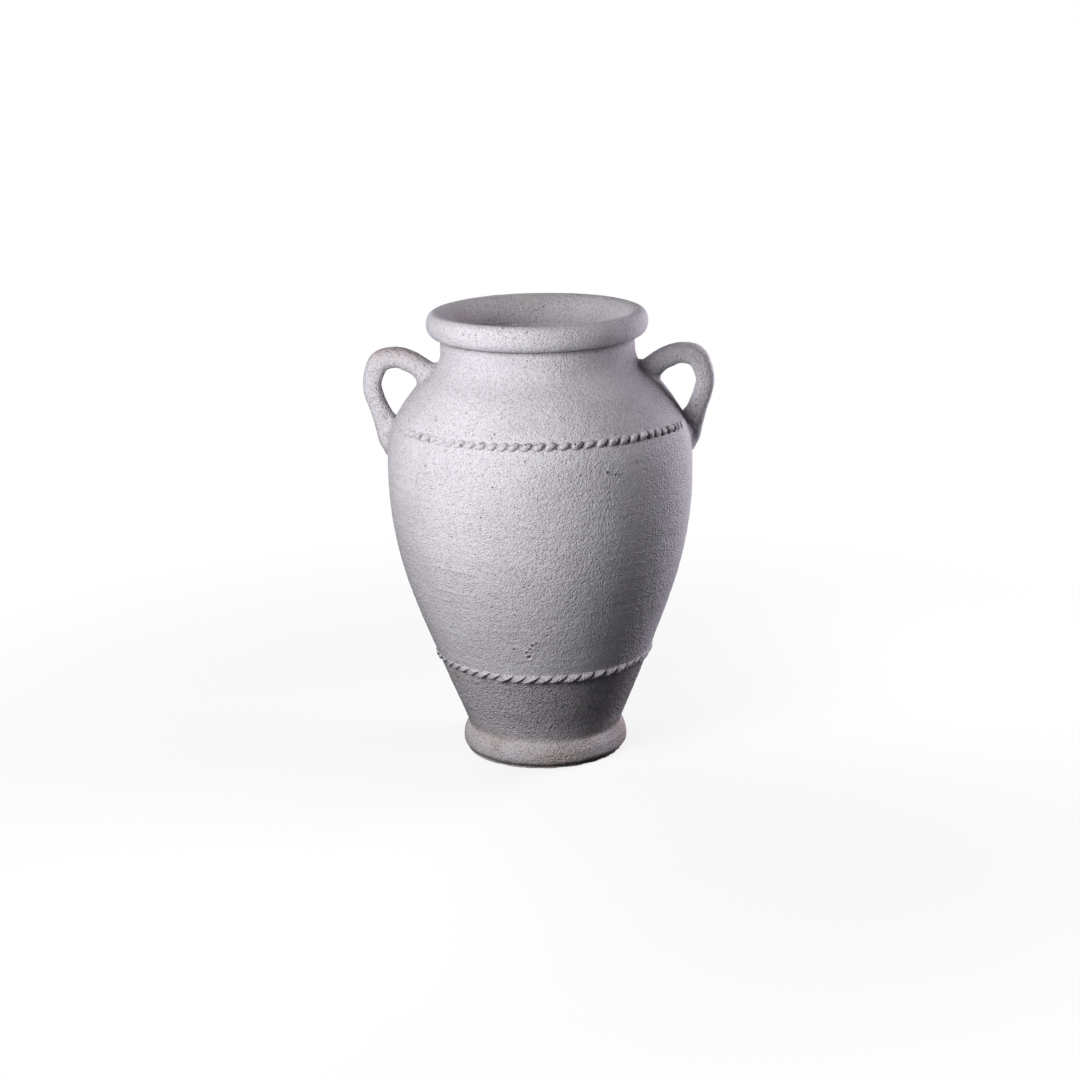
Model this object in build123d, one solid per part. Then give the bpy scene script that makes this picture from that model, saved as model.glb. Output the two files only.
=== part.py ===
from build123d import *

import os
from math import atan2, cos, degrees, pi, radians, sin, tan

# A two-handled terracotta jar, put together as a potter does it: a foot ring that holds the
# floor slab, three wall sections lapped at their seams, a rolled rim, twisted rope bands laid
# over the seams, and two coil handles luted to the shoulder. Sizes in millimetres and degrees.

# Foot ring and floor slab
foot_radius = 83.6
foot_belt_height = 11.0
foot_pad_height = 3.5
foot_pad_radius = 77.0
foot_spring_lean = 59.0
foot_draw_lean = 51.0
floor_recess = 12.0
floor_thick = 15.0
floor_ledge = 8.0
floor_bearing = 2.5
slip_gap = 0.3

# Wall sections, from the foot up
wall = 13.0
lap_rise = 5.0
waist_radius = 77.5
cone_height = 75.0
low_seam_radius = 107.3
belly_rise = 187.0
belly_radius = 152.0
crown_rise = 55.0
crown_inset = 8.5
crown_lean = 29.0
shoulder_rise = 68.0
shoulder_lean = 40.0
neck_radius = 96.0
neck_height = 12.0

# Rolled rim
rim_radius = 109.4
rim_half_width = 8.4
rim_half_height = 12.0
rim_lift = 2.0

# Rope bands: how far they stand out, their height, the lay of one lobe and its lean
upper_rope_proud = 4.2
upper_rope_height = 9.6
upper_rope_lay = 10.9
upper_rope_lean = 32.0
lower_rope_proud = 3.6
lower_rope_height = 8.0
lower_rope_lay = 11.3
lower_rope_lean = 50.0
lobe_fullness = 1.5
rope_bevel = 38.0

# Handles: the coil's section and the line of its middle
handle_thick = 19.0
handle_deep = 24.0
handle_corner = 8.0
handle_overhang = 13.0
handle_drop = 19.0
handle_bend = 23.5
handle_climb = 33.0
handle_straight = 12.5
root_thick = 36.0
root_deep = 46.0
tail_lean = 12.6
tail_drop = 37.0
tail_round = 7.2

# Heights and radii that follow from the sizes above
foot_height = floor_recess + floor_thick
low_seam_height = foot_height + cone_height
belly_height = low_seam_height + belly_rise
high_seam_height = belly_height + crown_rise
neck_start = high_seam_height + shoulder_rise
rim_seam_height = neck_start + neck_height
rim_belt_height = rim_seam_height + rim_lift + rim_half_height
jar_height = rim_belt_height + rim_half_height
high_seam_radius = belly_radius - crown_inset
rim_crest_radius = rim_radius - rim_half_width
cone_lean = degrees(atan2(low_seam_radius - waist_radius, cone_height))


def point(radius, height):
    """A point of the jar's section, in the plane of the axis."""
    return Vector(radius, 0, height)


def along(lean):
    """The wall's upward direction where it leans outwards by this angle from plumb."""
    return Vector(sin(radians(lean)), 0, cos(radians(lean)))


def outward(lean):
    """The direction square to the wall, away from the axis."""
    return Vector(cos(radians(lean)), 0, -sin(radians(lean)))


class Station:
    """A place on the wall: the outer point, the inner point behind it and the wall's lean."""

    def __init__(self, radius, height, lean, lap=0.0):
        self.lean = lean
        self.outer = point(radius, height)
        self.inner = self.outer - outward(lean) * wall + along(lean) * lap


waist = Station(waist_radius, foot_height, cone_lean)
low_seam = Station(low_seam_radius, low_seam_height, cone_lean, lap_rise)
belly = Station(belly_radius, belly_height, 0.0)
high_seam = Station(high_seam_radius, high_seam_height, -crown_lean, lap_rise)
shoulder = Station(
    (high_seam_radius + neck_radius) / 2, (high_seam_height + neck_start) / 2, -shoulder_lean
)
neck = Station(neck_radius, neck_start, 0.0)
waist_inner_radius = waist_radius - wall / cos(radians(cone_lean))
slab_radius = waist_inner_radius + floor_bearing


def smooth(stations, side):
    """A curve through the stations' outer or inner points, tangent to the wall at each."""
    points = [getattr(station, side) for station in stations]
    return Spline(*points, tangents=[along(station.lean) for station in stations])


def revolved(*edges):
    """The solid of a closed outline turned round the axis, with its closing line at the back."""
    return Rot(0, 0, 90) * revolve(make_face(Wire(list(edges))), axis=Axis.Z)


def foot_outline():
    """The foot's outer side: a flat pad, then a full round belt drawn in to the waist."""
    pad_top = point(foot_pad_radius, foot_pad_height)
    belt = point(foot_radius, foot_belt_height)
    lower = Spline(pad_top, belt, tangents=(along(foot_spring_lean), along(0)))
    upper = Spline(belt, waist.outer, tangents=(along(0), along(-foot_draw_lean)))
    return [Line(point(foot_pad_radius, 0), pad_top), lower, upper]


def make_foot_ring():
    """The ring under the wall, with a rebate inside that carries the floor slab."""
    seat_radius = slab_radius + slip_gap
    bore_radius = seat_radius - floor_ledge
    inside = Polyline(
        waist.outer,
        point(seat_radius, foot_height),
        point(seat_radius, floor_recess),
        point(bore_radius, floor_recess),
        point(bore_radius, 0),
        point(foot_pad_radius, 0),
    )
    return revolved(*foot_outline(), *inside.edges())


def make_floor_slab():
    """The floor, a disc on the foot's ledge whose edge is held down by the wall."""
    slab = Cylinder(slab_radius, floor_thick, align=(Align.CENTER, Align.CENTER, Align.MIN))
    return Pos(0, 0, floor_recess) * slab


def make_lower_wall():
    """The straight cone between the foot and the lower seam."""
    foot_inner = point(waist_inner_radius, foot_height)
    outline = Polyline(waist.outer, low_seam.outer, low_seam.inner, foot_inner, waist.outer)
    return revolved(*outline.edges())


def make_belly_wall():
    """The full belly from the lower seam to the upper one."""
    stations = [low_seam, belly, high_seam]
    return revolved(
        smooth(stations, "outer"),
        Line(high_seam.outer, high_seam.inner),
        smooth(stations, "inner"),
        Line(low_seam.inner, low_seam.outer),
    )


def make_shoulder_neck():
    """The shoulder, drawn in to a short upright neck."""
    stations = [high_seam, shoulder, neck]
    neck_edge = Polyline(
        neck.outer,
        point(neck_radius, rim_seam_height),
        point(neck_radius - wall, rim_seam_height),
        neck.inner,
    )
    return revolved(
        smooth(stations, "outer"),
        *neck_edge.edges(),
        smooth(stations, "inner"),
        Line(high_seam.inner, high_seam.outer),
    )


def rim_roll_outside():
    """The outer half of the rim's roll, from its underside over the widest line to the crest."""
    middle = Plane(origin=point(rim_crest_radius, rim_belt_height), x_dir=(1, 0, 0), z_dir=(0, -1, 0))
    return middle * EllipticalCenterArc((0, 0), rim_half_width, rim_half_height, -90, arc_size=180)


def make_rim_roll():
    """The rolled rim: a heavy round lip that flares out of the neck's bore."""
    bore_radius = neck_radius - wall
    throat = Plane(origin=point(rim_crest_radius, rim_seam_height), x_dir=(1, 0, 0), z_dir=(0, -1, 0))
    throat_width = rim_crest_radius - bore_radius
    throat_height = jar_height - rim_seam_height
    return revolved(
        Line(point(neck_radius, rim_seam_height), point(rim_crest_radius, rim_seam_height + rim_lift)),
        rim_roll_outside(),
        throat * EllipticalCenterArc((0, 0), throat_width, throat_height, 90, arc_size=90),
        Line(point(bore_radius, rim_seam_height), point(neck_radius, rim_seam_height)),
    )


def make_outer_form():
    """The jar's outside as one full body, which ropes and handles are fitted against."""
    core = Polyline(
        neck.outer,
        point(neck_radius, rim_seam_height),
        point(0, rim_seam_height),
        point(0, foot_height),
        waist.outer,
        low_seam.outer,
    )
    return revolved(
        smooth([low_seam, belly, high_seam], "outer"),
        smooth([high_seam, shoulder, neck], "outer"),
        *core.edges(),
    )


def make_rope(seam, proud, height, lay, lean, outer_form):
    """A clay rope on a seam: leaning round lobes side by side, bevelled to the band's edges."""
    count = round(2 * pi * seam.outer.X / lay)
    half_step = pi * seam.outer.X / count * cos(radians(lean))
    lobe_radius = half_step * lobe_fullness
    out, up = outward(seam.lean), along(seam.lean)
    lobe_axis = up * cos(radians(lean)) + Vector(0, 1, 0) * sin(radians(lean))
    lobe_length = 3 * height / cos(radians(lean))
    lobe_place = Plane(origin=seam.outer + out * (proud - lobe_radius), z_dir=lobe_axis)
    lobe = lobe_place * Cylinder(lobe_radius, lobe_length)
    lobes = [Rot(0, 0, 360 * turn / count) * lobe for turn in range(count)]
    slope = tan(radians(rope_bevel))
    ridge = height / 2 / slope
    inside = seam.outer - out * proud
    band = Polyline(
        inside - up * (height / 2 + proud * slope),
        seam.outer + out * ridge,
        inside + up * (height / 2 + proud * slope),
        close=True,
    )
    ring = revolved(*band.edges()) - outer_form
    return ring & (lobes[0] + lobes[1:])


def make_upper_ropes(outer_form):
    """The upper rope, laid in two lengths that each run from handle to handle."""
    rope = make_rope(
        high_seam, upper_rope_proud, upper_rope_height, upper_rope_lay, upper_rope_lean, outer_form
    )
    front_side = Plane.XZ.offset(handle_deep / 2)
    back_side = Plane.XZ.offset(-handle_deep / 2)
    return split(rope, front_side, Keep.TOP), split(rope, back_side, Keep.BOTTOM)


def make_lower_rope(outer_form):
    """The lower rope, one ring right round the jar."""
    return make_rope(
        low_seam, lower_rope_proud, lower_rope_height, lower_rope_lay, lower_rope_lean, outer_form
    )


def handle_section(place, direction, thick, deep):
    """The coil's rounded section at a place, square to the direction that it runs in."""
    square = Plane(origin=place, x_dir=(0, 1, 0), z_dir=direction)
    return square * RectangleRounded(deep, thick, handle_corner)


def make_handle(outer_form):
    """The handle on +X: a coil flared at its root, bent once and thumbed round at its tail."""
    climb = point(cos(radians(handle_climb)), sin(radians(handle_climb)))
    fall = -along(tail_lean)
    bend_middle = point(
        belly_radius + handle_overhang - handle_bend, rim_seam_height - handle_drop - handle_bend
    )
    bend_start = bend_middle + point(-climb.Z, climb.X) * handle_bend
    bend_top = bend_middle + along((tail_lean + handle_climb) / 2) * handle_bend
    bend_end = bend_middle + outward(tail_lean) * handle_bend
    root = bend_start - climb * ((bend_start.X - neck_radius + wall) / climb.X)
    flare_end = bend_start - climb * handle_straight
    tail = bend_end + fall * ((bend_end.Z - high_seam_height + tail_drop) / -fall.Z)
    run = Wire([
        Line(flare_end, bend_start),
        ThreePointArc(bend_start, bend_top, bend_end),
        Line(bend_end, tail),
    ])
    coil_section = handle_section(flare_end, climb, handle_thick, handle_deep)
    coil = sweep(coil_section, path=run)
    tail_face = coil.faces().sort_by_distance(tail)[0]
    coil = fillet(tail_face.edges(), tail_round)
    flare = loft([handle_section(root, climb, root_thick, root_deep), coil_section])
    return (coil + flare) - outer_form


def build():
    """Every piece of the jar, by the name of its file."""
    outer_form = make_outer_form()
    handle = make_handle(outer_form)
    upper_rope_front, upper_rope_back = make_upper_ropes(outer_form)
    return {
        "foot_ring": make_foot_ring(),
        "floor_slab": make_floor_slab(),
        "lower_wall": make_lower_wall(),
        "lower_rope": make_lower_rope(outer_form),
        "belly_wall": make_belly_wall(),
        "upper_rope_front": upper_rope_front,
        "upper_rope_back": upper_rope_back,
        "shoulder_neck": make_shoulder_neck(),
        "rim_roll": make_rim_roll(),
        "right_handle": handle,
        "left_handle": Rot(0, 0, 180) * handle,
    }


os.makedirs("parts", exist_ok=True)
for name, piece in build().items():
    export_step(piece, f"parts/{name}.step")
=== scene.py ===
import math

import bmesh
import bpy
import numpy as np
from mathutils import Matrix, Vector, noise


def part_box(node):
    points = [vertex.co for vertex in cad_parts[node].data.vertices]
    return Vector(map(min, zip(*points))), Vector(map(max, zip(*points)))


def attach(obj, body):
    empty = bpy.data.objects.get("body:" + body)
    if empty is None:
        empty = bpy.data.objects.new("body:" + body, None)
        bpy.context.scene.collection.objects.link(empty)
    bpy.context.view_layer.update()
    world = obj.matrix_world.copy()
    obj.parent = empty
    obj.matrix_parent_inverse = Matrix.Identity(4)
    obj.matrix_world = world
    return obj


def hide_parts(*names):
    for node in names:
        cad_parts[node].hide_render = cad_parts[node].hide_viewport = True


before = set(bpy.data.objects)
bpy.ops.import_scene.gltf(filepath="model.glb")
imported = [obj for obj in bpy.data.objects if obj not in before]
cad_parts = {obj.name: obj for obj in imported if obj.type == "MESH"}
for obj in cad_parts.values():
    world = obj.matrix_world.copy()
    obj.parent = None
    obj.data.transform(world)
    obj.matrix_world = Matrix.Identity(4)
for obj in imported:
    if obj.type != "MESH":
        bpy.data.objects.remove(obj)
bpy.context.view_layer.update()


# Foot ring
# The round belt that the jar stands on: a coil of coarse terracotta turned on to the wall's lower
# end. Its limewash is thin, so warm clay shows, and the edge on the ground is rubbed and chipped.

mm = 0.001
full_turn = 2 * math.pi
cut_angle = math.radians(20)
wall_corner = math.radians(55)


def rough(points, size):
    """Smooth noise from -1 to 1 at each point, with bumps of about this size on each axis."""
    return np.array([noise.noise(place) for place in (points / size).tolist()])


def section_of(node, fine, coarse):
    """The outline of a turned CAD piece as (radius, height) points, closely spaced on its outside."""
    across = Vector((-math.sin(cut_angle), math.cos(cut_angle), 0))
    cut = bmesh.new()
    cut.from_mesh(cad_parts[node].data)
    made = bmesh.ops.bisect_plane(
        cut, geom=cut.verts[:] + cut.edges[:] + cut.faces[:], plane_co=(0, 0, 0), plane_no=across
    )
    beside = {}
    for edge in made["geom_cut"]:
        if isinstance(edge, bmesh.types.BMEdge) and edge.verts[0].co.x > 0:
            ends = [(round(v.co.xy.length, 6), round(v.co.z, 6)) for v in edge.verts]
            beside.setdefault(ends[0], set()).add(ends[1])
            beside.setdefault(ends[1], set()).add(ends[0])
    cut.free()
    first = min(beside, key=lambda place: (place[1], place[0]))
    loop, here = [first], max(beside[first])
    while here != first:
        loop.append(here)
        here = next((place for place in beside[here] if place not in loop[1:] and place != loop[-2]), first)
    corners = np.array(loop + [first])
    steps = np.linalg.norm(np.diff(corners, axis=0), axis=1)
    travelled = np.concatenate([[0], np.cumsum(steps)])
    outside = np.diff(corners[:, 1]) > -0.2 * steps
    spacing = np.where(outside, fine, coarse)
    density = np.concatenate([[0], np.cumsum(steps / spacing)])
    places = np.interp(np.linspace(0, density[-1], int(density[-1]), endpoint=False), density, travelled)
    return np.column_stack([np.interp(places, travelled, corners[:, axis]) for axis in (0, 1)])


def softened(outline, passes):
    """The outline with its corners rubbed round, as wet clay leaves them."""
    for _ in range(passes):
        outline = (np.roll(outline, 1, axis=0) + 2 * outline + np.roll(outline, -1, axis=0)) / 4
    return outline


def grid_mesh(name, points, slot, material, closed=True, **marks):
    """A piece from rings of points, each ring closed, with a number at each point for every mark."""
    rings, count = points.shape[:2]
    index = np.arange(rings * count).reshape(rings, count)
    ahead = np.roll(index, -1, axis=0)
    if not closed:
        index, ahead = index[:-1], ahead[:-1]
    quads = np.stack([index, np.roll(index, -1, 1), np.roll(ahead, -1, 1), ahead], axis=-1).reshape(-1, 4)
    faces = quads.tolist()
    if not closed:
        faces += [list(range(count))[::-1], list(range((rings - 1) * count, rings * count))]
    mesh = bpy.data.meshes.new(name)
    mesh.from_pydata(points.reshape(-1, 3).tolist(), [], faces)
    for mark, values in marks.items():
        layer = mesh.attributes.new(mark, "FLOAT", "POINT")
        layer.data.foreach_set("value", values.ravel().astype(np.float32))
    mesh.shade_smooth()
    mesh.materials.append(material)
    piece = bpy.data.objects.new(name, mesh)
    bpy.context.scene.collection.objects.link(piece)
    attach(piece, "root")
    return piece


def hand_turned(points):
    """How far the potter's hands left the wall proud at each point: slow waves, dents, turning lines."""
    slow = 0.5 * mm * rough(points, 75 * mm)
    dents = 0.22 * mm * rough(points + 1, 21 * mm)
    lines = 0.2 * mm * rough(points + 2, np.array([110, 110, 4.5]) * mm)
    tooth = 0.12 * mm * rough(points + 3, 7 * mm)
    return slow + dents + lines + tooth


def unit(steps):
    """The steps' directions, each of length 1."""
    return steps / np.linalg.norm(steps, axis=1)[:, None]


def turned(name, node, slot, material, outline, relief, marks, around=480):
    """A turned wall of clay that stands for a CAD node: its outline swept round with hand-made relief.
    Its sharp edges only move in and out, so that two walls stay closed along their seam."""
    angle = np.linspace(0, full_turn, around, endpoint=False)
    before = unit(outline - np.roll(outline, 1, axis=0))
    after = unit(np.roll(outline, -1, axis=0) - outline)
    run = unit(before + after)
    facing = np.column_stack([run[:, 1], -run[:, 0]])
    corner = np.sum(before * after, axis=1) < math.cos(wall_corner)
    facing[corner] = np.sign(facing[corner]) * (1, 0)

    def swept(section):
        """Each (outward, upward) pair of the section carried round the jar's axis."""
        outward, upward = section[:, :1], np.broadcast_to(section[:, 1:], (len(section), around))
        return np.stack([outward * np.cos(angle), outward * np.sin(angle), upward], axis=-1)

    plain = swept(outline)
    flat = plain.reshape(-1, 3)
    proud = relief(flat).reshape(len(outline), around, 1)
    made = {mark: measure(flat) for mark, measure in marks.items()}
    piece = grid_mesh(name, plain + swept(facing) * proud, slot, material, **made)
    piece.data.set_sharp_from_angle(angle=wall_corner)
    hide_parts(node)


class Shade:
    """A node's output that can stand in sums: an expression on values adds its Math nodes."""

    def __init__(self, tree, socket=None):
        self.tree = tree
        self.socket = socket

    def node(self, kind, settings, sockets, output=0):
        """Adds a node: its settings first, then the values or links of its sockets."""
        made = self.tree.nodes.new(kind)
        for name, value in settings.items():
            setattr(made, name, value)
        for name, value in sockets.items():
            if isinstance(value, Shade):
                self.tree.links.new(value.socket, made.inputs[name])
            else:
                made.inputs[name].default_value = value
        return Shade(self.tree, made.outputs[output])

    def math(self, operation, first, second):
        """Adds a Math node on two values or links."""
        return self.node("ShaderNodeMath", {"operation": operation}, {0: first, 1: second})

    def __add__(self, other):
        return self.math("ADD", self, other)

    def __radd__(self, other):
        return self.math("ADD", other, self)

    def __sub__(self, other):
        return self.math("SUBTRACT", self, other)

    def __rsub__(self, other):
        return self.math("SUBTRACT", other, self)

    def __mul__(self, other):
        return self.math("MULTIPLY", self, other)

    def __rmul__(self, other):
        return self.math("MULTIPLY", other, self)

    def between(self, low, high):
        """0 below low, 1 above high, and a soft step between them."""
        settings = {"interpolation_type": "SMOOTHSTEP"}
        return self.node("ShaderNodeMapRange", settings, {"Value": self, "From Min": low, "From Max": high})

    def mixed(self, first, second):
        """The first colour where this mask is 0 and the second where it is 1."""
        return self.node("ShaderNodeMix", {"data_type": "RGBA"}, {0: self, 6: first, 7: second}, output=2)


def linear(red, green, blue):
    """A colour seen as these 0 to 255 values, as the shader needs it."""
    return tuple((value / 255) ** 2.2 for value in (red, green, blue)) + (1.0,)


def limewashed(name, bare_share):
    """Sandy terracotta under a thin limewash, worn back to the clay over about this share of it."""
    material = bpy.data.materials.new(name)
    material.use_nodes = True
    tree = material.node_tree
    shader = tree.nodes["Principled BSDF"]
    start = Shade(tree)
    upright = start.node("ShaderNodeTexCoord", {}, {}, output="Object")
    place = start.node("ShaderNodeMapping", {}, {"Vector": upright, "Rotation": (0.6, 0.8, 0.4)})

    def cloud(scale, detail):
        """Noise from 0 to 1, finer at a larger scale."""
        sockets = {"Vector": place, "Scale": scale, "Detail": detail, "Roughness": 0.6}
        return start.node("ShaderNodeTexNoise", {}, sockets)

    def mark(attribute):
        """The number that the mesh holds at each point under this name."""
        return start.node("ShaderNodeAttribute", {"attribute_name": attribute}, {}, output="Fac")

    def specks(scale, size, share):
        """1 on round specks, one in this share of the cells, and 0 round them."""
        sockets = {"Vector": place, "Scale": scale}
        near = start.node("ShaderNodeTexVoronoi", {}, sockets, output="Distance")
        chance = start.node("ShaderNodeTexVoronoi", {}, sockets, output="Color")
        draw = start.node("ShaderNodeSeparateColor", {}, {"Color": chance})
        chosen = draw.between(1 - share, 1 - share + 0.02)
        return (1 - near.between(size * 0.5, size)) * chosen

    packing = {"Vector": place, "Scale": 540, "Smoothness": 0.3}
    grains = start.node("ShaderNodeTexVoronoi", {"feature": "SMOOTH_F1"}, packing, output="Distance")
    sand = cloud(820, 2)
    lumps = cloud(250, 1)
    patches = cloud(16, 4)
    drift = cloud(5, 2)
    dots = specks(450, 0.42, 0.5)
    grit = specks(330, 0.30, 0.16)
    pits = specks(230, 0.24, 0.03)
    hollow = mark("hollow")
    bare = mark("bare")

    thin_wash, full_wash = linear(214, 211, 219), linear(228, 226, 234)
    grey_sand, white_sand = linear(196, 193, 197), linear(255, 255, 255)
    bare_clay, brown_grit = linear(186, 162, 145), linear(124, 110, 103)
    # A grey brown for painted shade and dirt, and a darker grey for painted shade in small pits.
    shade_and_dirt_colour, pit_shade = linear(80, 65, 65), linear(72, 64, 63)
    wash = (drift * 0.5 + patches * 0.5).between(0.35, 0.65).mixed(thin_wash, full_wash)
    worn = (patches + sand * 0.6 + bare * 0.9 + bare_share * 0.8).between(1.05, 1.7)
    washed = (worn * 0.7).mixed(wash, bare_clay)
    sanded = sand.between(0.36, 0.62).mixed(grey_sand, white_sand)
    multiply = {"data_type": "RGBA", "blend_type": "MULTIPLY"}
    grained = start.node("ShaderNodeMix", multiply, {0: 0.6, 6: washed, 7: sanded}, output=2)
    sandy = 1 + (bare + hollow).between(0.1, 0.6)
    gritty = ((grit * 0.45 + dots * 0.3) * sandy).mixed(grained, brown_grit)
    # The mesh's mark darkens the colour: painted shade in pits, creases, joints, under the rim and on the
    # jar's right, with some dirt.
    with_shade_and_dirt = (hollow * 0.8).mixed(gritty, shade_and_dirt_colour)
    pitted = (pits * 0.75).mixed(with_shade_and_dirt, pit_shade)
    tree.links.new(pitted.socket, shader.inputs["Base Color"])
    shader.inputs["Roughness"].default_value = 0.92
    shader.inputs["Specular IOR Level"].default_value = 0.2
    height = (sand * 0.45 + lumps * 0.6 - grains * 0.45 - dots * 0.25 - grit * 0.4) * sandy - pits * 1.2
    bump = start.node("ShaderNodeBump", {}, {"Height": height, "Strength": 0.85, "Distance": 1.3 * mm})
    tree.links.new(bump.socket, shader.inputs["Normal"])
    return material


_, foot_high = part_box("foot_ring")
foot_top = foot_high.z
foot_outside = 0.8 * foot_high.x
foot_rub_height = 7 * mm
foot_chip = 1.5 * mm
foot_spread = 3.0 * mm
foot_blend = 3.2 * mm
foot_blend_from = 15 * mm
foot_blend_to = 37 * mm
foot_settle = 2.2 * mm
foot_lip = 3 * mm
belt_fall = 1.6
slope_rows = [1, 15]


def foot_relief(points):
    """The turned belt, chipped and uneven along the edge on the ground."""
    reach = np.hypot(points[:, 0], points[:, 1])
    low = np.clip(1 - points[:, 2] / foot_rub_height, 0, 1) * (reach > foot_outside)
    chips = rough(points, 9 * mm) + 0.6 * rough(points + 5, 4 * mm)
    return hand_turned(points) * (points[:, 2] > 0.1 * mm) + foot_chip * low * np.minimum(chips, 0.1)


def foot_hollow(points):
    """Dirt and painted shade in a ragged line along the ground edge, thick in places and nearly rubbed off
    in others.
    """
    ragged = points[:, 2] + 1.6 * mm * rough(points, 9 * mm) + 1.0 * mm * rough(points, 4 * mm)
    dirt_and_shade = 0.45 + 0.3 * rough(points, 60 * mm)
    return dirt_and_shade * np.clip(1.25 - 0.8 * ragged / foot_rub_height, 0, 1)


foot_material = limewashed("limewash_on_foot", bare_share=0.35)
foot_outline = softened(section_of("foot_ring", fine=0.9 * mm, coarse=2.5 * mm), passes=1)
foot_pad = (foot_outline[:, 1] < foot_rub_height) & (foot_outline[:, 0] > foot_outside)
foot_outline[foot_pad, 0] += foot_spread * (1 - foot_outline[foot_pad, 1] / foot_rub_height)
foot_top_row = foot_outline[:, 1].argmax()
outside_heights = foot_outline[:foot_top_row, 1]
settled = foot_settle * np.clip(outside_heights / foot_rub_height, 0, 1)
foot_outline[:foot_top_row, 1] = outside_heights - settled
cone_outline = section_of("lower_wall", fine=1.2 * mm, coarse=6 * mm)
cone_start, cone_end = cone_outline[cone_outline[:, 1] > foot_top][slope_rows]
cone_slope = (cone_end[0] - cone_start[0]) / (cone_end[1] - cone_start[1])
belt = foot_outline[:foot_top_row]
belt = belt[belt[:, 1] > foot_blend_from]
heights = np.arange(foot_blend_from, foot_blend_to, 0.8 * mm)
belt_radii = np.interp(heights, belt[:, 1], belt[:, 0]) - belt_fall * np.clip(heights - belt[-1, 1], 0, None)
cone_radii = cone_start[0] + cone_slope * (heights - cone_start[1])
flowing = cone_radii + foot_blend * np.log1p(np.exp((belt_radii - cone_radii) / foot_blend))
foot_outline = np.vstack([
    foot_outline[:foot_top_row][foot_outline[:foot_top_row, 1] < foot_blend_from],
    np.column_stack([flowing, heights]),
    [(flowing[-1] - foot_lip, heights[-1])],
    foot_outline[foot_top_row:],
])
turned("foot_belt", "foot_ring", "foot_clay", foot_material, foot_outline, foot_relief, {
    "hollow": foot_hollow,
    "bare": lambda points: 0.34 + 0.25 * rough(points, 30 * mm),
})


# Floor slab
# The disc that closes the bottom, laid on the foot's ledge and smoothed with wet hands. It is plain
# clay with hardly any wash on it, and shows only through the mouth.

floor_material = limewashed("bare_floor_clay", bare_share=0.4)
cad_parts["floor_slab"].data.materials.clear()
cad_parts["floor_slab"].data.materials.append(floor_material)


# Lower wall
# The straight cone between the foot and the lower rope, turned thick and left coarse. The wash is
# thin here, the cone is painted grey as painted shade, and a few grits have dragged out and left pits.

wall_material = limewashed("limewash_on_wall", bare_share=0.0)
cone_low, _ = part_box("lower_wall")
_, neck_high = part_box("shoulder_neck")
jar_heights = np.linspace(foot_top, neck_high.z, 900)
skin_depth, skin_blend = 4 * mm, 2 * mm


def outside_radius(node):
    """The CAD piece's largest radius at each of the jar's heights, or 0 where it has none."""
    here = section_of(node, fine=1 * mm, coarse=4 * mm)
    ahead = np.roll(here, -1, axis=0)
    radii = np.zeros(len(jar_heights))
    for (radius, height), (next_radius, next_height) in zip(here, ahead):
        low, high = sorted((height, next_height))
        met = (jar_heights >= low) & (jar_heights <= high) & (high - low > 1e-9)
        reached = radius + (next_radius - radius) * (jar_heights[met] - height) / (next_height - height)
        radii[met] = np.maximum(radii[met], reached)
    return radii


walls = ("lower_wall", "belly_wall", "shoulder_neck")
jar_radii = np.max([outside_radius(node) for node in walls], axis=0)
jar_slopes = np.gradient(jar_radii, jar_heights)


def on_outside(points):
    """1 on the jar's outside and 0 on its inside."""
    wall = np.interp(points[:, 2], jar_heights, jar_radii)
    return np.clip((np.hypot(points[:, 0], points[:, 1]) - wall + skin_depth) / skin_blend, 0, 1)


def away_from(points, turn, height):
    """Each point's distance along the surface from a place at this bearing in degrees and height in mm."""
    bearing = np.arctan2(points[:, 1], points[:, 0])
    beside = np.hypot(points[:, 0], points[:, 1]) * (bearing - math.radians(turn))
    return np.hypot(beside, points[:, 2] - height * mm)


def pit_field(points, pits):
    """1 in the middle of each pit, falling off over its size, and a little below 0 on its raised edge."""
    field = np.zeros(len(points))
    for turn, height, size in pits:
        away = away_from(points, turn, height) / (size * mm)
        field += np.exp(-away ** 2) - 0.35 * np.exp(-((away - 1.9) / 0.6) ** 2)
    return field * on_outside(points)


# Each pit's bearing in degrees, height and size in mm
cone_pits = [
    (-93.2, 50.6, 1.2), (-94.2, 51.8, 0.9), (-78.5, 69.2, 1.1), (-77.4, 71.4, 0.9), (-103.2, 36.5, 1.1),
    (-101.6, 37.4, 0.8), (-85.3, 45.3, 0.9), (-60.0, 62.0, 0.9), (70.0, 60.0, 1.2), (160.0, 45.0, 1.1),
]
cone_pit_depth = 1.2 * mm


def cone_relief(points):
    """The hand-turned wall with a few grits dragged out of it."""
    return hand_turned(points) - cone_pit_depth * pit_field(points, cone_pits)


def cone_hollow(points):
    """Painted shade: grey over the cone, most in front on the right and none where it meets the foot, with
    its pits painted dark.
    """
    front_right = np.clip(np.cos(np.arctan2(points[:, 1], points[:, 0]) + math.pi / 4), 0, 1)
    above_foot = np.clip((points[:, 2] - cone_low.z) / (25 * mm), 0, 1)
    # Painted shade, strongest on the front right.
    grey = (0.19 + 0.28 * front_right + 0.06 * rough(points, 25 * mm)) * above_foot
    return np.clip(grey + 0.8 * pit_field(points, cone_pits), 0, 1)


turned("cone_wall", "lower_wall", "wall_clay", wall_material, cone_outline, cone_relief, {
    "hollow": cone_hollow,
    "bare": lambda points: 0.24 + 0.15 * rough(points, 40 * mm),
}, around=600)


# Belly wall
# The full belly between the two ropes, drawn up and pressed out by hand. Turning lines run round its
# left side, and a few grits have dragged out of the surface and left pits.

_, belly_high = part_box("belly_wall")
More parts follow.
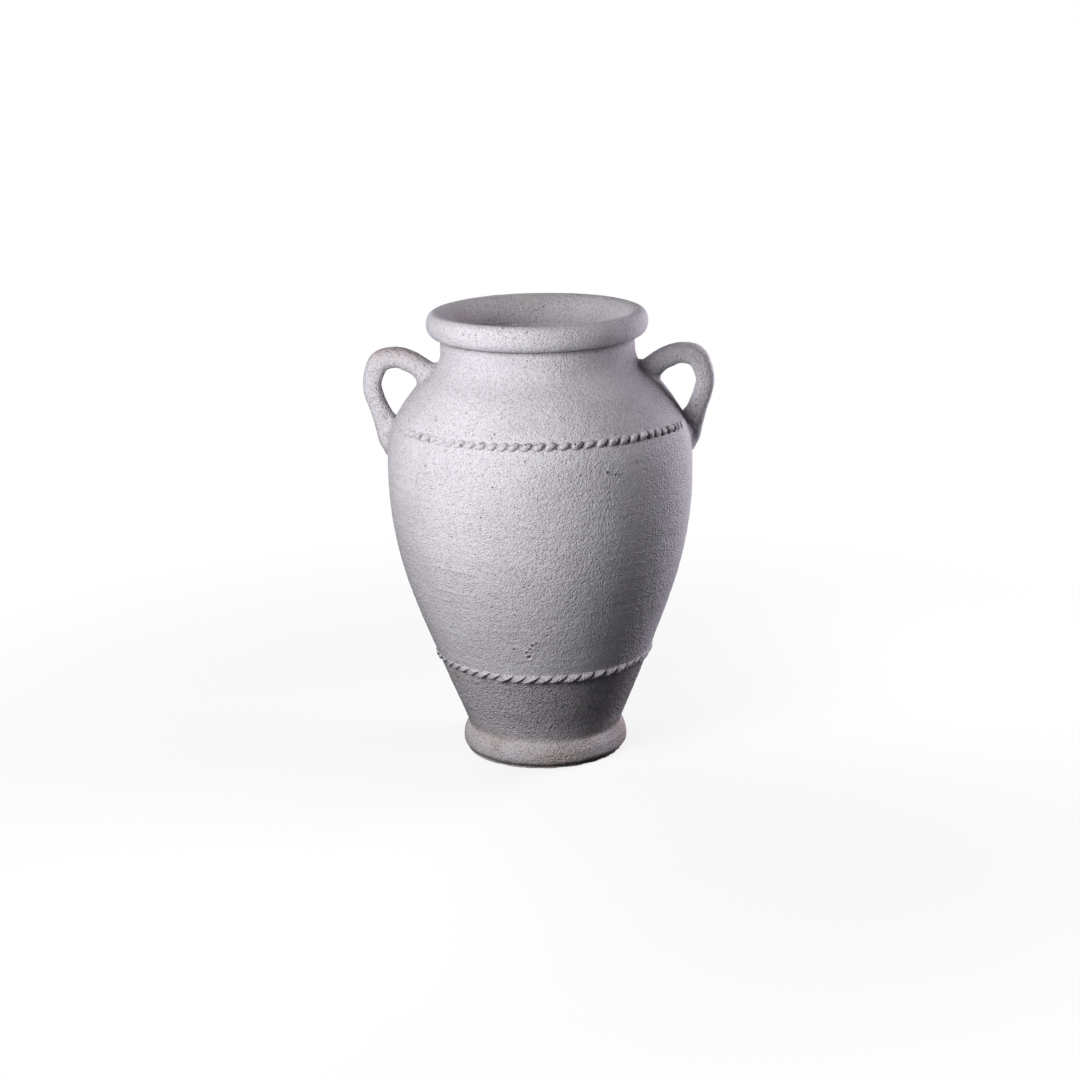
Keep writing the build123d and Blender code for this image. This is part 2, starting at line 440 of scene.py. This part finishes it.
# Each pit's bearing in degrees, height and size in mm
dragged_pits = [
    (-96.0, 129.8, 1.7), (-97.0, 134.6, 1.3), (-95.2, 139.0, 1.0), (-93.9, 143.0, 1.3), (-92.2, 145.4, 1.1),
    (-102.7, 138.2, 1.0), (-64.0, 316.6, 1.2), (-61.0, 314.1, 1.0), (-126.7, 336.5, 1.1),
    (20.0, 210.0, 1.3), (60.0, 250.0, 1.6), (130.0, 170.0, 1.3),
]
belly_pit_depth = 1.6 * mm
# Each fingertip line's first and last bearing in degrees and its height in mm
finger_lines = [
    (-143, -117, 195.2), (-140, -113, 219.0), (-152, -124, 184.5), (30, 78, 226.0), (98, 150, 203.0),
]
finger_ridge, finger_width = 0.45 * mm, 1.1 * mm
# Each clay stain's bearing in degrees, height and size in mm
clay_stains = [(-95.4, 212.0, 11.0), (-62.0, 318.0, 9.0), (45.0, 200.0, 14.0), (150.0, 255.0, 12.0)]


def belly_relief(points):
    """The hand-turned wall with its dragged pits and the thin ridges beside a fingertip."""
    bearing = np.degrees(np.arctan2(points[:, 1], points[:, 0]))
    ridges = np.zeros(len(points))
    for first, last, height in finger_lines:
        share = np.clip((bearing - first) / (last - first), 0, 1)
        ridges += np.sin(math.pi * share) * np.exp(-((points[:, 2] - height * mm) / finger_width) ** 2)
    pits = belly_pit_depth * pit_field(points, dragged_pits)
    return hand_turned(points) + finger_ridge * ridges * on_outside(points) - pits


def belly_bare(points):
    """A few warm stains where the wash is rubbed thin."""
    stains = np.zeros(len(points))
    for turn, height, size in clay_stains:
        stains += np.exp(-(away_from(points, turn, height) / (size * mm)) ** 2)
    return 0.1 * rough(points, 50 * mm) + 0.35 * stains


belly_outline = section_of("belly_wall", fine=1.1 * mm, coarse=6 * mm)
turned("belly", "belly_wall", "wall_clay", wall_material, belly_outline, belly_relief, {
    # The pits are painted dark, as painted shade.
    "hollow": lambda points: np.clip(1.2 * pit_field(points, dragged_pits), 0, 1.1),
    "bare": belly_bare,
}, around=720)


# Shoulder and neck
# The shoulder drawn in to a short neck that carries the rim. The wash is full on the outside; inside
# it ran out, and the clay is warm and sandy.

# How dark the painted shade under the roll is.
under_roll_shade = 0.45
neck_outline = section_of("shoulder_neck", fine=2 * mm, coarse=4 * mm)


def throat_clay_and_light(points):
    """How much clay shows inside the mouth: less on the jar's right, which is painted lighter as painted
    light.
    """
    return 0.38 - 0.26 * np.clip(0.5 + points[:, 0] / (120 * mm), 0, 1)


def neck_hollow(points):
    """Painted shade under the rim, and grey painted shade on the jar's right."""
    under = under_roll_shade * np.clip(1 - (neck_high.z - points[:, 2]) / (5 * mm), 0, 1)
    right = 0.13 * np.clip(2.2 * points[:, 0] / neck_high.x - 0.3, 0, 1)
    return (under + right) * on_outside(points)


def neck_bare(points):
    """Clay shows inside the neck, less on the right as painted light, and outside round the handles' roots
    and tails.
    """
    by_handle = on_outside(points) * np.exp(-(points[:, 1] / (38 * mm)) ** 2)
    throat_clay_lit = throat_clay_and_light(points) * (1 - on_outside(points))
    return throat_clay_lit + 0.55 * by_handle + 0.15 * rough(points, 30 * mm)


turned("shoulder_and_neck", "shoulder_neck", "wall_clay", wall_material, neck_outline, hand_turned, {
    "hollow": neck_hollow,
    "bare": neck_bare,
})


# Rim
# A heavy roll of clay turned over at the mouth, smooth and well washed outside, with the clay
# showing on its inner slope.

rim_material = limewashed("limewash_on_rim", bare_share=0.0)
rim_low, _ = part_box("rim_roll")
rim_outline = section_of("rim_roll", fine=1.2 * mm, coarse=1.2 * mm)
rim_crest_radius = rim_outline[rim_outline[:, 1].argmax(), 0]
# Each pin hole's bearing in degrees, height and size in mm
rim_pits = [
    (-129.3, 441.3, 0.9), (-125.4, 441.6, 0.8), (-121.6, 441.9, 0.9), (-100.2, 441.0, 1.1),
    (-94.5, 445.7, 1.1), (-107.0, 449.0, 0.9), (40.0, 440.0, 1.1), (115.0, 438.0, 1.2),
]


def rim_hollow(points):
    """Painted shade under the roll, and dark paint as painted shade in a few pin holes in its face."""
    under = under_roll_shade * np.clip(1 - (points[:, 2] - rim_low.z) / (3 * mm), 0, 1) * on_outside(points)
    return np.maximum(under, np.clip(pit_field(points, rim_pits), 0, 0.8))


def rim_bare(points):
    """Clay on the slope inside the crest, less on the jar's right as painted light."""
    inside = np.clip((rim_crest_radius - np.hypot(points[:, 0], points[:, 1])) / (6 * mm), 0, 1)
    return throat_clay_and_light(points) * inside + 0.05 + 0.15 * rough(points, 30 * mm)


turned("rim", "rim_roll", "rim_clay", rim_material, rim_outline, hand_turned, {
    "hollow": rim_hollow,
    "bare": rim_bare,
})


# Rope bands
# Two thin coils of soft clay laid over the wall's seams and pinched along with a slanted thumb, so that
# each press leaves a leaning lobe. The upper one is worn nearly flat on the jar's left.

rope_material = limewashed("limewash_on_ropes", bare_share=0.12)
across_band = np.linspace(-1.25, 1.25, 23)
lobe_steps = 16
lobe_peak, lobe_drop = 0.74, 0.26
rope_radius = np.interp(belly_high.z, jar_heights, jar_radii)
rope_sunk, rope_buried, rope_overlap = 0.7 * mm, 3 * mm, 0.5 * mm
hole_floor, hole_lip = 0.3 * mm, 1.0 * mm
pace_slack, slack_at, slack_over = 0.04, -1.25, 0.35


def rope_points(angles, seam, half_height, proud, sag):
    """The band's points for a height of proud at each angle and place across, with its back in the wall."""
    lean = math.atan(np.interp(seam, jar_heights, jar_slopes))
    wander = 0.5 * mm * rough(np.column_stack([np.cos(angles), np.sin(angles), 0 * angles]), 0.16)
    heights = seam + (wander - sag)[:, None] + across_band * half_height * math.cos(lean)
    radii = np.interp(heights, jar_heights, jar_radii)
    radii = radii + proud * math.cos(lean)
    heights = heights - proud * math.sin(lean)
    radii = np.column_stack([radii, radii[:, -1] - rope_buried, radii[:, 0] - rope_buried])
    heights = np.column_stack([heights, heights[:, -1], heights[:, 0]])
    return np.stack([radii * np.cos(angles)[:, None], radii * np.sin(angles)[:, None], heights], axis=-1)


def paced(turn):
    """The angle as the potter paced the presses: they lie further apart in front on the right."""
    return turn - pace_slack * np.tanh((turn - slack_at) / slack_over)


def rope_band(name, node, angles, turns, slant, proud, bead, left_over, sag, seed, holes=(), grime=0.0):
    """A pinched band that stands for a CAD rope. The bead gives a lobe's height from its place along and
    across it, left_over how much of that height wear has left at each angle, and sag how low it lies."""
    low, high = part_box(node)
    seam, half_height = (low.z + high.z) / 2, (high.z - low.z) / 2 + rope_overlap
    chance = np.random.default_rng(seed)
    press = 1 + 0.12 * chance.standard_normal(turns)
    slip = 0.06 * chance.standard_normal(turns)
    lay = full_turn * np.interp(seam, jar_heights, jar_radii) / turns
    first, last = paced(np.array([-math.pi, math.pi]))
    run = turns * (paced(angles) - first) / (last - first)
    along = run[:, None] - across_band * half_height * math.tan(slant) / lay
    lobe = np.floor(along).astype(int) % turns
    part = along - np.floor(along)
    part = np.clip(part + slip[lobe] * np.sin(math.pi * part), 0, 1)
    swell = bead(part, across_band)
    body = np.clip(1 - np.abs(across_band) ** 3, 0, 1) ** 0.6
    rise = (proud + rope_sunk) * body * swell * press[lobe] * left_over[:, None] - rope_sunk
    core, lip = np.zeros(rise.shape), np.zeros(rise.shape)
    for turn, across, size in holes:
        along_way = (angles[:, None] - math.radians(turn)) * lay * turns / full_turn
        away = np.hypot(along_way, (across_band - across) * half_height) / (size * mm)
        core = np.maximum(core, np.exp(-away ** 4))
        lip = np.maximum(lip, np.exp(-((away - 1.5) / 0.45) ** 2))
    rise = rise * (1 - core) + hole_floor * core + hole_lip * lip * (1 - core)
    flat = rope_points(angles, seam, half_height, 0 * rise, sag).reshape(-1, 3)
    relief = hand_turned(flat) + 0.3 * mm * rough(flat, 5 * mm)
    relief = relief.reshape(len(angles), -1)[:, : len(across_band)]
    points = rope_points(angles, seam, half_height, rise + relief, sag)
    # Dark paint in the creases between lobes and in the air holes' cores is painted shade; grime adds an
    # even grey.
    dark = np.clip(grime + 0.85 * body * (1 - swell) ** 1.5 * left_over[:, None] + core, 0, 1)
    crease_shade = np.column_stack([dark, np.zeros((len(angles), 2))])
    closed = angles[-1] - angles[0] > 0.98 * full_turn
    piece = grid_mesh(name, points, "rope_clay", rope_material, closed,
                      hollow=crease_shade, bare=0.15 * left_over[:, None] + 0.05 + 0.3 * crease_shade)
    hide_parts(node)


def pressed_lobe(part, across):
    """The lower rope: each press rises slowly and drops at its end, deepest along the lower edge."""
    rising = np.sin(part / lobe_peak * math.pi / 2)
    falling = np.cos((part - lobe_peak) / lobe_drop * math.pi / 2)
    swell = np.where(part < lobe_peak, rising, falling)
    depth = np.clip(0.9 - 0.25 * across, 0, 1)
    return 1 - depth * (1 - swell ** 0.8)


def oval_bead(part, across):
    """The upper rope: a row of leaning ovals, each steeper at its end, with a thin neck between two."""
    place = 1.12 * (2 * part - 1)
    place = place + 0.15 * (1 - place ** 2)
    oval = np.sqrt(np.clip(1 - np.abs(place) ** 2.2 - 0.85 * across ** 2, 0, 1))
    return np.maximum(oval, 0.3 * np.clip(1 - across ** 2, 0, 1))


lower_turns = 54
lower_slant, lower_proud = math.radians(54), 4.2 * mm
lower_lift = 2 * mm
lower_angles = np.linspace(-math.pi, math.pi, lower_turns * lobe_steps, endpoint=False)
lower_around = np.radians([-180, -150, -115, -90, -50, -15, 90, 180])
lower_worn_to = [0.5, 0.55, 0.85, 0.97, 0.97, 0.75, 0.85, 0.5]
lower_left_over = np.interp(lower_angles, lower_around, lower_worn_to)
lower_sag = np.full(len(lower_angles), -lower_lift)
rope_band("lower_rope_band", "lower_rope", lower_angles, lower_turns, lower_slant, lower_proud, pressed_lobe,
          lower_left_over, lower_sag, seed=11, grime=0.12)

upper_turns = 81
upper_slant, upper_proud = math.radians(26), 4.3 * mm
sag_depth, sag_from, sag_over = 3.5 * mm, math.radians(-42), math.radians(30)
rope_end = math.asin(9 * mm / rope_radius)
flat_end, flat_to_full = 0.13, 0.28
upper_around = np.radians([-180, -150, -142, -126, -117, -108, -92, -75, 0])
upper_worn_to = [0.45, 0.58, 0.52, 0.5, 0.55, 0.66, 0.88, 0.97, 0.97]
# Each air hole's bearing in degrees, its place across the band and its size in mm
air_holes = [
    (-140.8, -0.1, 1.9), (-135.5, -0.35, 1.9), (-119.6, -0.3, 1.1), (-111.6, 0.5, 1.0), (-94.1, 0.4, 0.9),
    (-90.0, 0.45, 0.9), (-75.7, 0.15, 1.1), (-48.5, 0.1, 1.2), (35.0, 0.1, 1.3), (104.0, -0.2, 1.1),
]
for name, node, first in (("upper_rope_front_band", "upper_rope_front", -math.pi),
                          ("upper_rope_back_band", "upper_rope_back", 0.0)):
    last = first + math.pi
    upper_angles = np.linspace(first + rope_end, last - rope_end, upper_turns * lobe_steps // 2)
    from_end = np.minimum(upper_angles - upper_angles[0], upper_angles[-1] - upper_angles)
    left_over = np.interp(upper_angles, upper_around, upper_worn_to)
    left_over = left_over * (0.15 + 0.85 * np.clip((from_end - flat_end) / flat_to_full, 0, 1))
    sag = sag_depth * np.clip((upper_angles - sag_from) / sag_over, 0, 1) ** 1.3 * (first < 0)
    rope_band(name, node, upper_angles, upper_turns, upper_slant, upper_proud, oval_bead,
              left_over, sag, seed=23, holes=air_holes)


# Handles
# Two coils of clay bent into ears and luted on with slip: flared where they root on the shoulder, and
# thumbed flat where the tail ends on the belly below the upper rope. Clay shows in the loops.

handle_material = limewashed("limewash_on_handles", bare_share=0.12)
coil_half_deep = 12 * mm
root_spread, tail_spread = 7 * mm, 8 * mm
crotch_spread = 8 * mm
skirt_depth = 0.9 * mm
root_flare, root_share = 0.25, 0.2
tail_from, tail_share = 0.86, 0.16
around_coil = 64
coil_steps = 22
# The coil's middle line from root to tail in mm: inwards from the outermost point, down from the top, and
# its half thickness there
coil_line = np.array([
    (74.5, 36.0, 15.0), (62.5, 24.6, 11.6), (55.5, 18.7, 10.4), (46.5, 13.6, 10.3), (33.5, 9.7, 10.0),
    (17.4, 14.6, 10.4), (9.8, 34.5, 9.1), (12.4, 50.0, 9.1), (17.2, 64.0, 9.2), (20.8, 78.5, 9.2),
    (23.0, 92.0, 8.6), (26.5, 105.0, 6.0),
]) * mm


def curve_through(knots, steps):
    """A smooth curve through the knots, as many steps between each two."""
    padded = np.vstack([2 * knots[0] - knots[1], knots, 2 * knots[-1] - knots[-2]])
    share = np.linspace(0, 1, steps, endpoint=False)[:, None]
    runs = []
    for before, start, end, after in zip(padded, padded[1:], padded[2:], padded[3:]):
        runs.append(0.5 * (2 * start + (end - before) * share
                           + (2 * before - 5 * start + 4 * end - after) * share ** 2
                           + (3 * start - before - 3 * end + after) * share ** 3))
    return np.vstack(runs + [knots[-1:]])


def clear_of_wall(points):
    """How far each point lies outside the jar's wall, and the wall's own direction there."""
    reach = np.hypot(points[..., 0], points[..., 1])
    slope = np.interp(points[..., 2], jar_heights, jar_slopes)
    steep = 1 / np.sqrt(1 + slope ** 2)
    clear = (reach - np.interp(points[..., 2], jar_heights, jar_radii)) * steep
    outward = points[..., :2] / reach[..., None] * steep[..., None]
    facing = np.concatenate([outward, (-slope * steep)[..., None]], axis=-1)
    return clear, facing


def handle(name, node, side, wear_and_shade):
    """One ear: the coil's section carried along its middle line and spread where it meets the wall."""
    _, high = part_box("right_handle")
    line = curve_through(coil_line, coil_steps)
    middle = np.column_stack([high.x - line[:, 0], 0 * line[:, 0], high.z - line[:, 1]])
    half_thick = line[:, 2]
    run = np.gradient(middle, axis=0)
    run /= np.linalg.norm(run, axis=1)[:, None]
    outer = np.column_stack([-run[:, 2], 0 * run[:, 0], run[:, 0]])
    share = np.linspace(0, 1, len(line))
    half_deep = coil_half_deep * (1 + root_flare * np.clip(1 - share / root_share, 0, 1) ** 2)
    tail = np.clip((share - tail_from) / tail_share, 0, 1)
    half_deep = half_deep * np.sqrt(np.clip(1 - tail ** 2, 0.15, 1))
    turn = np.linspace(0, full_turn, around_coil, endpoint=False)
    squareness = 2 + 0.9 * np.clip(np.minimum(share / 0.25, (1 - share) / 0.3), 0, 1)[:, None]
    thick_way = np.sign(np.cos(turn)) * np.abs(np.cos(turn)) ** (2 / squareness)
    deep_way = np.sign(np.sin(turn)) * np.abs(np.sin(turn)) ** (2 / squareness)
    offset = (half_thick[:, None] * thick_way)[..., None] * outer[:, None]
    offset[..., 1] += half_deep[:, None] * deep_way
    points = middle[:, None] + offset
    clear, facing = clear_of_wall(points)
    loop = np.clip(-thick_way, 0, 1)
    spread = (root_spread + (tail_spread - root_spread) * share)[:, None]
    spread = spread + crotch_spread * loop * np.clip(4 * share[:, None] - 2, 0, 1)
    near = np.clip(spread - clear - skirt_depth, 0, spread)
    push = spread - np.sqrt(np.maximum(spread ** 2 - near ** 2, 0))
    outward = offset / np.linalg.norm(offset, axis=-1, keepdims=True)
    sideways = outward - np.sum(outward * facing, axis=-1, keepdims=True) * facing
    points = points + push[..., None] * sideways
    points[..., :2] *= side
    outward[..., :2] *= side
    flat = points.reshape(-1, 3)
    lumps = 0.5 * mm * rough(flat, 16 * mm) + 0.25 * mm * rough(flat, 6 * mm)
    points = points + lumps.reshape(clear.shape)[..., None] * outward
    joint = np.clip(1 - np.abs(clear) / (3.5 * mm), 0, 1)
    upper = np.clip(thick_way, 0, 1) * np.clip(outer[:, 2:], 0, 1)
    # Painted shade darkens the joint with the wall, the inside of the loop and the top, with dust on the
    # top; clay shows in the same places.
    piece = grid_mesh(name, points, "handle_clay", handle_material, False,
                      hollow=wear_and_shade * (0.08 * joint + 0.12 * loop + 0.14 * upper),
                      bare=0.12 + wear_and_shade * (0.15 * joint + 0.2 * loop + 0.3 * upper + 0.1))
    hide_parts(node)


# The right ear has little wear and little painted shade, so it is painted lighter than the left, as painted
# light.
handle("right_ear", "right_handle", side=1, wear_and_shade=0.08)
handle("left_ear", "left_handle", side=-1, wear_and_shade=0.75)


# Stage
# A pale floor that keeps the jar's shadow and fades into white. A soft lamp shines from the upper left, and
# two more from behind keep the jar's right edge and its back from going black.

floor_half = 6.0
floor_mesh = bpy.data.meshes.new("floor")
corners = [(x * floor_half, y * floor_half, 0) for x, y in ((-1, -1), (1, -1), (1, 1), (-1, 1))]
floor_mesh.from_pydata(corners, [], [(0, 1, 2, 3)])
floor = bpy.data.objects.new("floor", floor_mesh)
bpy.context.scene.collection.objects.link(floor)

pale = bpy.data.materials.new("pale_floor")
pale.use_nodes = True
pale.node_tree.nodes.remove(pale.node_tree.nodes["Principled BSDF"])
paint = Shade(pale.node_tree)
seen = paint.node("ShaderNodeLightPath", {}, {}, output="Is Camera Ray")
ground = paint.node("ShaderNodeTexCoord", {}, {}, output="Object")
distance = paint.node("ShaderNodeVectorMath", {"operation": "LENGTH"}, {0: ground}, output="Value")
bounce_grey, floor_white = (0.08, 0.08, 0.085, 1), (0.93, 0.93, 0.94, 1)
tint = seen.mixed(bounce_grey, floor_white)
matte = paint.node("ShaderNodeBsdfDiffuse", {}, {"Color": tint})
white = paint.node("ShaderNodeEmission", {}, {"Color": (1, 1, 1, 1), "Strength": 1.0})
paleness = 0.8 + 0.2 * distance.between(0.25, 0.9)
faded = paint.node("ShaderNodeMixShader", {}, {0: paleness * seen, 1: matte, 2: white})
pale.node_tree.links.new(faded.socket, pale.node_tree.nodes["Material Output"].inputs["Surface"])
floor_mesh.materials.append(pale)

world = bpy.data.worlds.new("studio")
bpy.context.scene.world = world
world.use_nodes = True
sky = Shade(world.node_tree)
lit = sky.node("ShaderNodeLightPath", {}, {}, output="Is Camera Ray")
room_grey, backdrop_white = (0.021, 0.019, 0.021, 1), (1, 1, 1, 1)
room = world.node_tree.nodes["Background"]
world.node_tree.links.new(lit.mixed(room_grey, backdrop_white).socket, room.inputs["Color"])

jar_middle = Vector((0, 0, 0.26))
lamp_distance = 0.85


def lamp(name, turn, lift, size, power, colour):
    """A soft square lamp that points at the jar from this bearing and height, in degrees."""
    light = bpy.data.lights.new(name, "AREA")
    light.size = size
    light.energy = power
    light.color = colour
    stand = bpy.data.objects.new(name, light)
    away = lamp_distance * math.cos(math.radians(lift))
    from_jar = Vector((away * math.cos(math.radians(turn)), away * math.sin(math.radians(turn)),
                       lamp_distance * math.sin(math.radians(lift))))
    stand.location = jar_middle + from_jar
    stand.rotation_euler = (-from_jar).to_track_quat("-Z", "Y").to_euler()
    bpy.context.scene.collection.objects.link(stand)


lamp("key", turn=-125.5, lift=22.5, size=0.42, power=7.0, colour=(1.0, 0.99, 0.98))
lamp("back_fill", turn=125, lift=35, size=0.5, power=2.2, colour=(1.0, 1.0, 1.0))
lamp("edge_light", turn=24, lift=18, size=0.4, power=6.2, colour=(0.98, 0.935, 0.995))


# Camera
# At the photograph's angle: in front and a little above, as far back as the photograph's flat view of the
# rim and foot asks for, and rolled by about a degree.

sensor_width = 36
frame_pixels = 1080
focal_pixels = 2229.4
camera_swing = math.radians(-1)
camera_back = 2.1697
camera_height = 0.810
aim_height = 0.21526
camera_roll = 0.0204
aim_shift_pixels = 1.73

camera_data = bpy.data.cameras.new("camera")
camera_data.sensor_width = sensor_width
camera_data.lens = sensor_width * focal_pixels / frame_pixels
camera_data.shift_x = -aim_shift_pixels / frame_pixels
camera = bpy.data.objects.new("camera", camera_data)
aside, back = camera_back * math.sin(camera_swing), camera_back * math.cos(camera_swing)
camera.location = (-aside, -back, camera_height)
look = (Vector((0, 0, aim_height)) - camera.location).to_track_quat("-Z", "Y").to_matrix()
camera.rotation_euler = (look @ Matrix.Rotation(-camera_roll, 3, "Z")).to_euler()
bpy.context.scene.collection.objects.link(camera)
bpy.context.scene.camera = camera
bpy.context.scene.view_settings.view_transform = "Standard"
